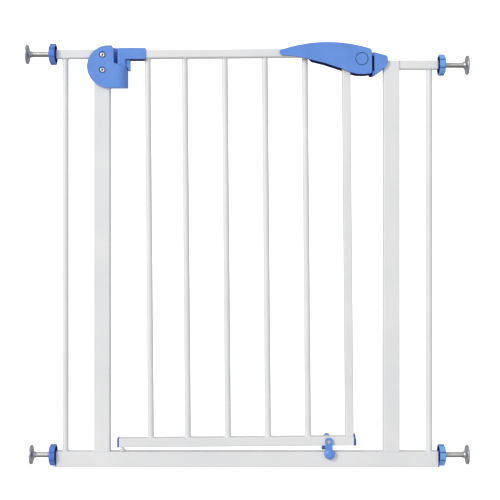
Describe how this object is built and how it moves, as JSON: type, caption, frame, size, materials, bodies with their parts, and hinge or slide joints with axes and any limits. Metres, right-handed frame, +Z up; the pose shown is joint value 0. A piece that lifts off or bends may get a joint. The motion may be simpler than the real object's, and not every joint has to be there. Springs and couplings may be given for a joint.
{
  "type": "safety gate",
  "caption": "Pressure-fit child safety gate: steel bar frame, self-closing swing door with lift lever latch, two-way stops and four screw spindles.",
  "frame": {"origin": "on the floor, under the middle of the gate", "axes": "+X to the right seen from the side the door opens to, +Y away from that side, +Z up"},
  "size_m": [0.83, 0.0428, 0.7945],
  "materials": {
    "white_steel": "satin powder coat",
    "blue_plastic": "moulded, low gloss",
    "deep_blue_plastic": "moulded, matte",
    "zinc_steel": "zinc plated",
    "spring_steel": "drawn wire",
    "white_nylon": "matte"
  },
  "bodies": {
    "frame": {"bottom_rail": "white_steel", "left_post": "white_steel", "right_post": "white_steel", "left_top_rail": "white_steel", "right_top_rail": "white_steel", "left_side_bar": "white_steel", "right_side_bar": "white_steel", "right_post_cap": "white_nylon", "lower_pivot_stud": "white_steel", "hinge_housing_front": "blue_plastic", "hinge_housing_rear": "blue_plastic", "housing_screws": "zinc_steel", "housing_nuts": "zinc_steel", "hinge_bush": "white_nylon", "latch_keeper": "white_nylon", "plug_upper_left": "deep_blue_plastic", "plug_upper_right": "deep_blue_plastic", "plug_lower_left": "deep_blue_plastic", "plug_lower_right": "deep_blue_plastic"},
    "pivot_washer": {"pivot_washer": "white_nylon"},
    "door": {"door_top_rail": "white_steel", "door_bottom_rail": "white_steel", "door_stile": "white_steel", "door_bar_1": "white_steel", "door_bar_2": "white_steel", "door_bar_3": "white_steel", "door_bar_4": "white_steel", "door_bar_5": "white_steel", "door_plug_left": "deep_blue_plastic", "door_plug_right": "deep_blue_plastic", "hinge_cap": "blue_plastic", "hinge_pin": "zinc_steel", "door_pivot_bush": "white_nylon", "latch_body": "blue_plastic", "latch_screw": "zinc_steel", "lever_pin": "zinc_steel", "lever_spring": "spring_steel", "bolt_spring": "spring_steel", "button_spring": "spring_steel", "stop_bolt": "zinc_steel", "stop_nut": "zinc_steel"},
    "lever": {"lever_front_shell": "blue_plastic", "lever_rear_shell": "blue_plastic"},
    "release_button": {"release_button": "blue_plastic"},
    "latch_bolt": {"latch_bolt": "zinc_steel"},
    "stop_lever_front": {"stop_lever_front": "blue_plastic"},
    "stop_lever_rear": {"stop_lever_rear": "blue_plastic"},
    "spindle_upper_left": {"spindle_upper_left": "zinc_steel", "wall_plate_upper_left": "zinc_steel"},
    "hand_wheel_upper_left": {"hand_wheel_upper_left": "blue_plastic"},
    "spindle_upper_right": {"spindle_upper_right": "zinc_steel", "wall_plate_upper_right": "zinc_steel"},
    "hand_wheel_upper_right": {"hand_wheel_upper_right": "blue_plastic"},
    "spindle_lower_left": {"spindle_lower_left": "zinc_steel", "wall_plate_lower_left": "zinc_steel"},
    "hand_wheel_lower_left": {"hand_wheel_lower_left": "blue_plastic"},
    "spindle_lower_right": {"spindle_lower_right": "zinc_steel", "wall_plate_lower_right": "zinc_steel"},
    "hand_wheel_lower_right": {"hand_wheel_lower_right": "blue_plastic"}
  },
  "joints": [
    {"name": "door_swing", "type": "hinge", "parent": "frame", "child": "pivot_washer", "pos_m": [-0.23402, -0.004, 0.03003], "axis": [0.0087, 0, -1], "range_deg": [0, 90]},
    {"name": "door_rise", "type": "slide", "parent": "pivot_washer", "child": "door", "axis": [-0.0087, 0, 1], "range_m": [0, 0.0081]},
    {"name": "lever_lift", "type": "hinge", "parent": "door", "child": "lever", "pos_m": [0.2139, 0, 0.76316], "axis": [0, 1, 0], "range_deg": [0, 18], "stiffness_Nm_per_rad": 0.2, "springref_deg": -34.38},
    {"name": "bolt_draw", "type": "slide", "parent": "door", "child": "latch_bolt", "axis": [-1, 0, -0.0087], "range_m": [0, 0.0053], "deforming": ["bolt_spring"]},
    {"name": "button_press", "type": "slide", "parent": "lever", "child": "release_button", "axis": [0, 1, 0], "range_m": [0, 0.0025], "stiffness_N_per_m": 300, "springref_m": -0.002, "deforming": ["button_spring"]},
    {"name": "stop_front_turn", "type": "hinge", "parent": "door", "child": "stop_lever_front", "pos_m": [0.15243, 0, 0.0488], "axis": [0, 1, 0], "range_deg": [-90, 90]},
    {"name": "stop_rear_turn", "type": "hinge", "parent": "door", "child": "stop_lever_rear", "pos_m": [0.15243, 0, 0.0488], "axis": [0, 1, 0], "range_deg": [-90, 90]},
    {"name": "wheel_turn_upper_left", "type": "hinge", "parent": "frame", "child": "hand_wheel_upper_left", "pos_m": [-0.366, 0, 0.774], "axis": [1, 0, 0], "range_deg": [-4700, 4700]},
    {"name": "spindle_out_upper_left", "type": "slide", "parent": "frame", "child": "spindle_upper_left", "axis": [-1, 0, 0], "range_m": [-0.0195, 0.0195]},
    {"name": "wheel_turn_upper_right", "type": "hinge", "parent": "frame", "child": "hand_wheel_upper_right", "pos_m": [0.366, 0, 0.7538], "axis": [-1, 0, 0], "range_deg": [-4700, 4700]},
    {"name": "spindle_out_upper_right", "type": "slide", "parent": "frame", "child": "spindle_upper_right", "axis": [1, 0, 0], "range_m": [-0.0195, 0.0195]},
    {"name": "wheel_turn_lower_left", "type": "hinge", "parent": "frame", "child": "hand_wheel_lower_left", "pos_m": [-0.366, 0, 0.022], "axis": [1, 0, 0], "range_deg": [-4700, 4700]},
    {"name": "spindle_out_lower_left", "type": "slide", "parent": "frame", "child": "spindle_lower_left", "axis": [-1, 0, 0], "range_m": [-0.0195, 0.0195]},
    {"name": "wheel_turn_lower_right", "type": "hinge", "parent": "frame", "child": "hand_wheel_lower_right", "pos_m": [0.366, 0, 0.022], "axis": [-1, 0, 0], "range_deg": [-4700, 4700]},
    {"name": "spindle_out_lower_right", "type": "slide", "parent": "frame", "child": "spindle_lower_right", "axis": [1, 0, 0], "range_m": [-0.0195, 0.0195]}
  ],
  "couplings": [
    {"joint": "door_rise", "follows": "door_swing", "m_per_rad": 0.0051},
    {"joint": "bolt_draw", "follows": "lever_lift", "m_per_rad": 0.0165},
    {"joint": "wheel_turn_upper_left", "follows": "spindle_out_upper_left", "rad_per_m": 4188.8},
    {"joint": "wheel_turn_upper_right", "follows": "spindle_out_upper_right", "rad_per_m": 4188.8},
    {"joint": "wheel_turn_lower_left", "follows": "spindle_out_lower_left", "rad_per_m": 4188.8},
    {"joint": "wheel_turn_lower_right", "follows": "spindle_out_lower_right", "rad_per_m": 4188.8}
  ]
}
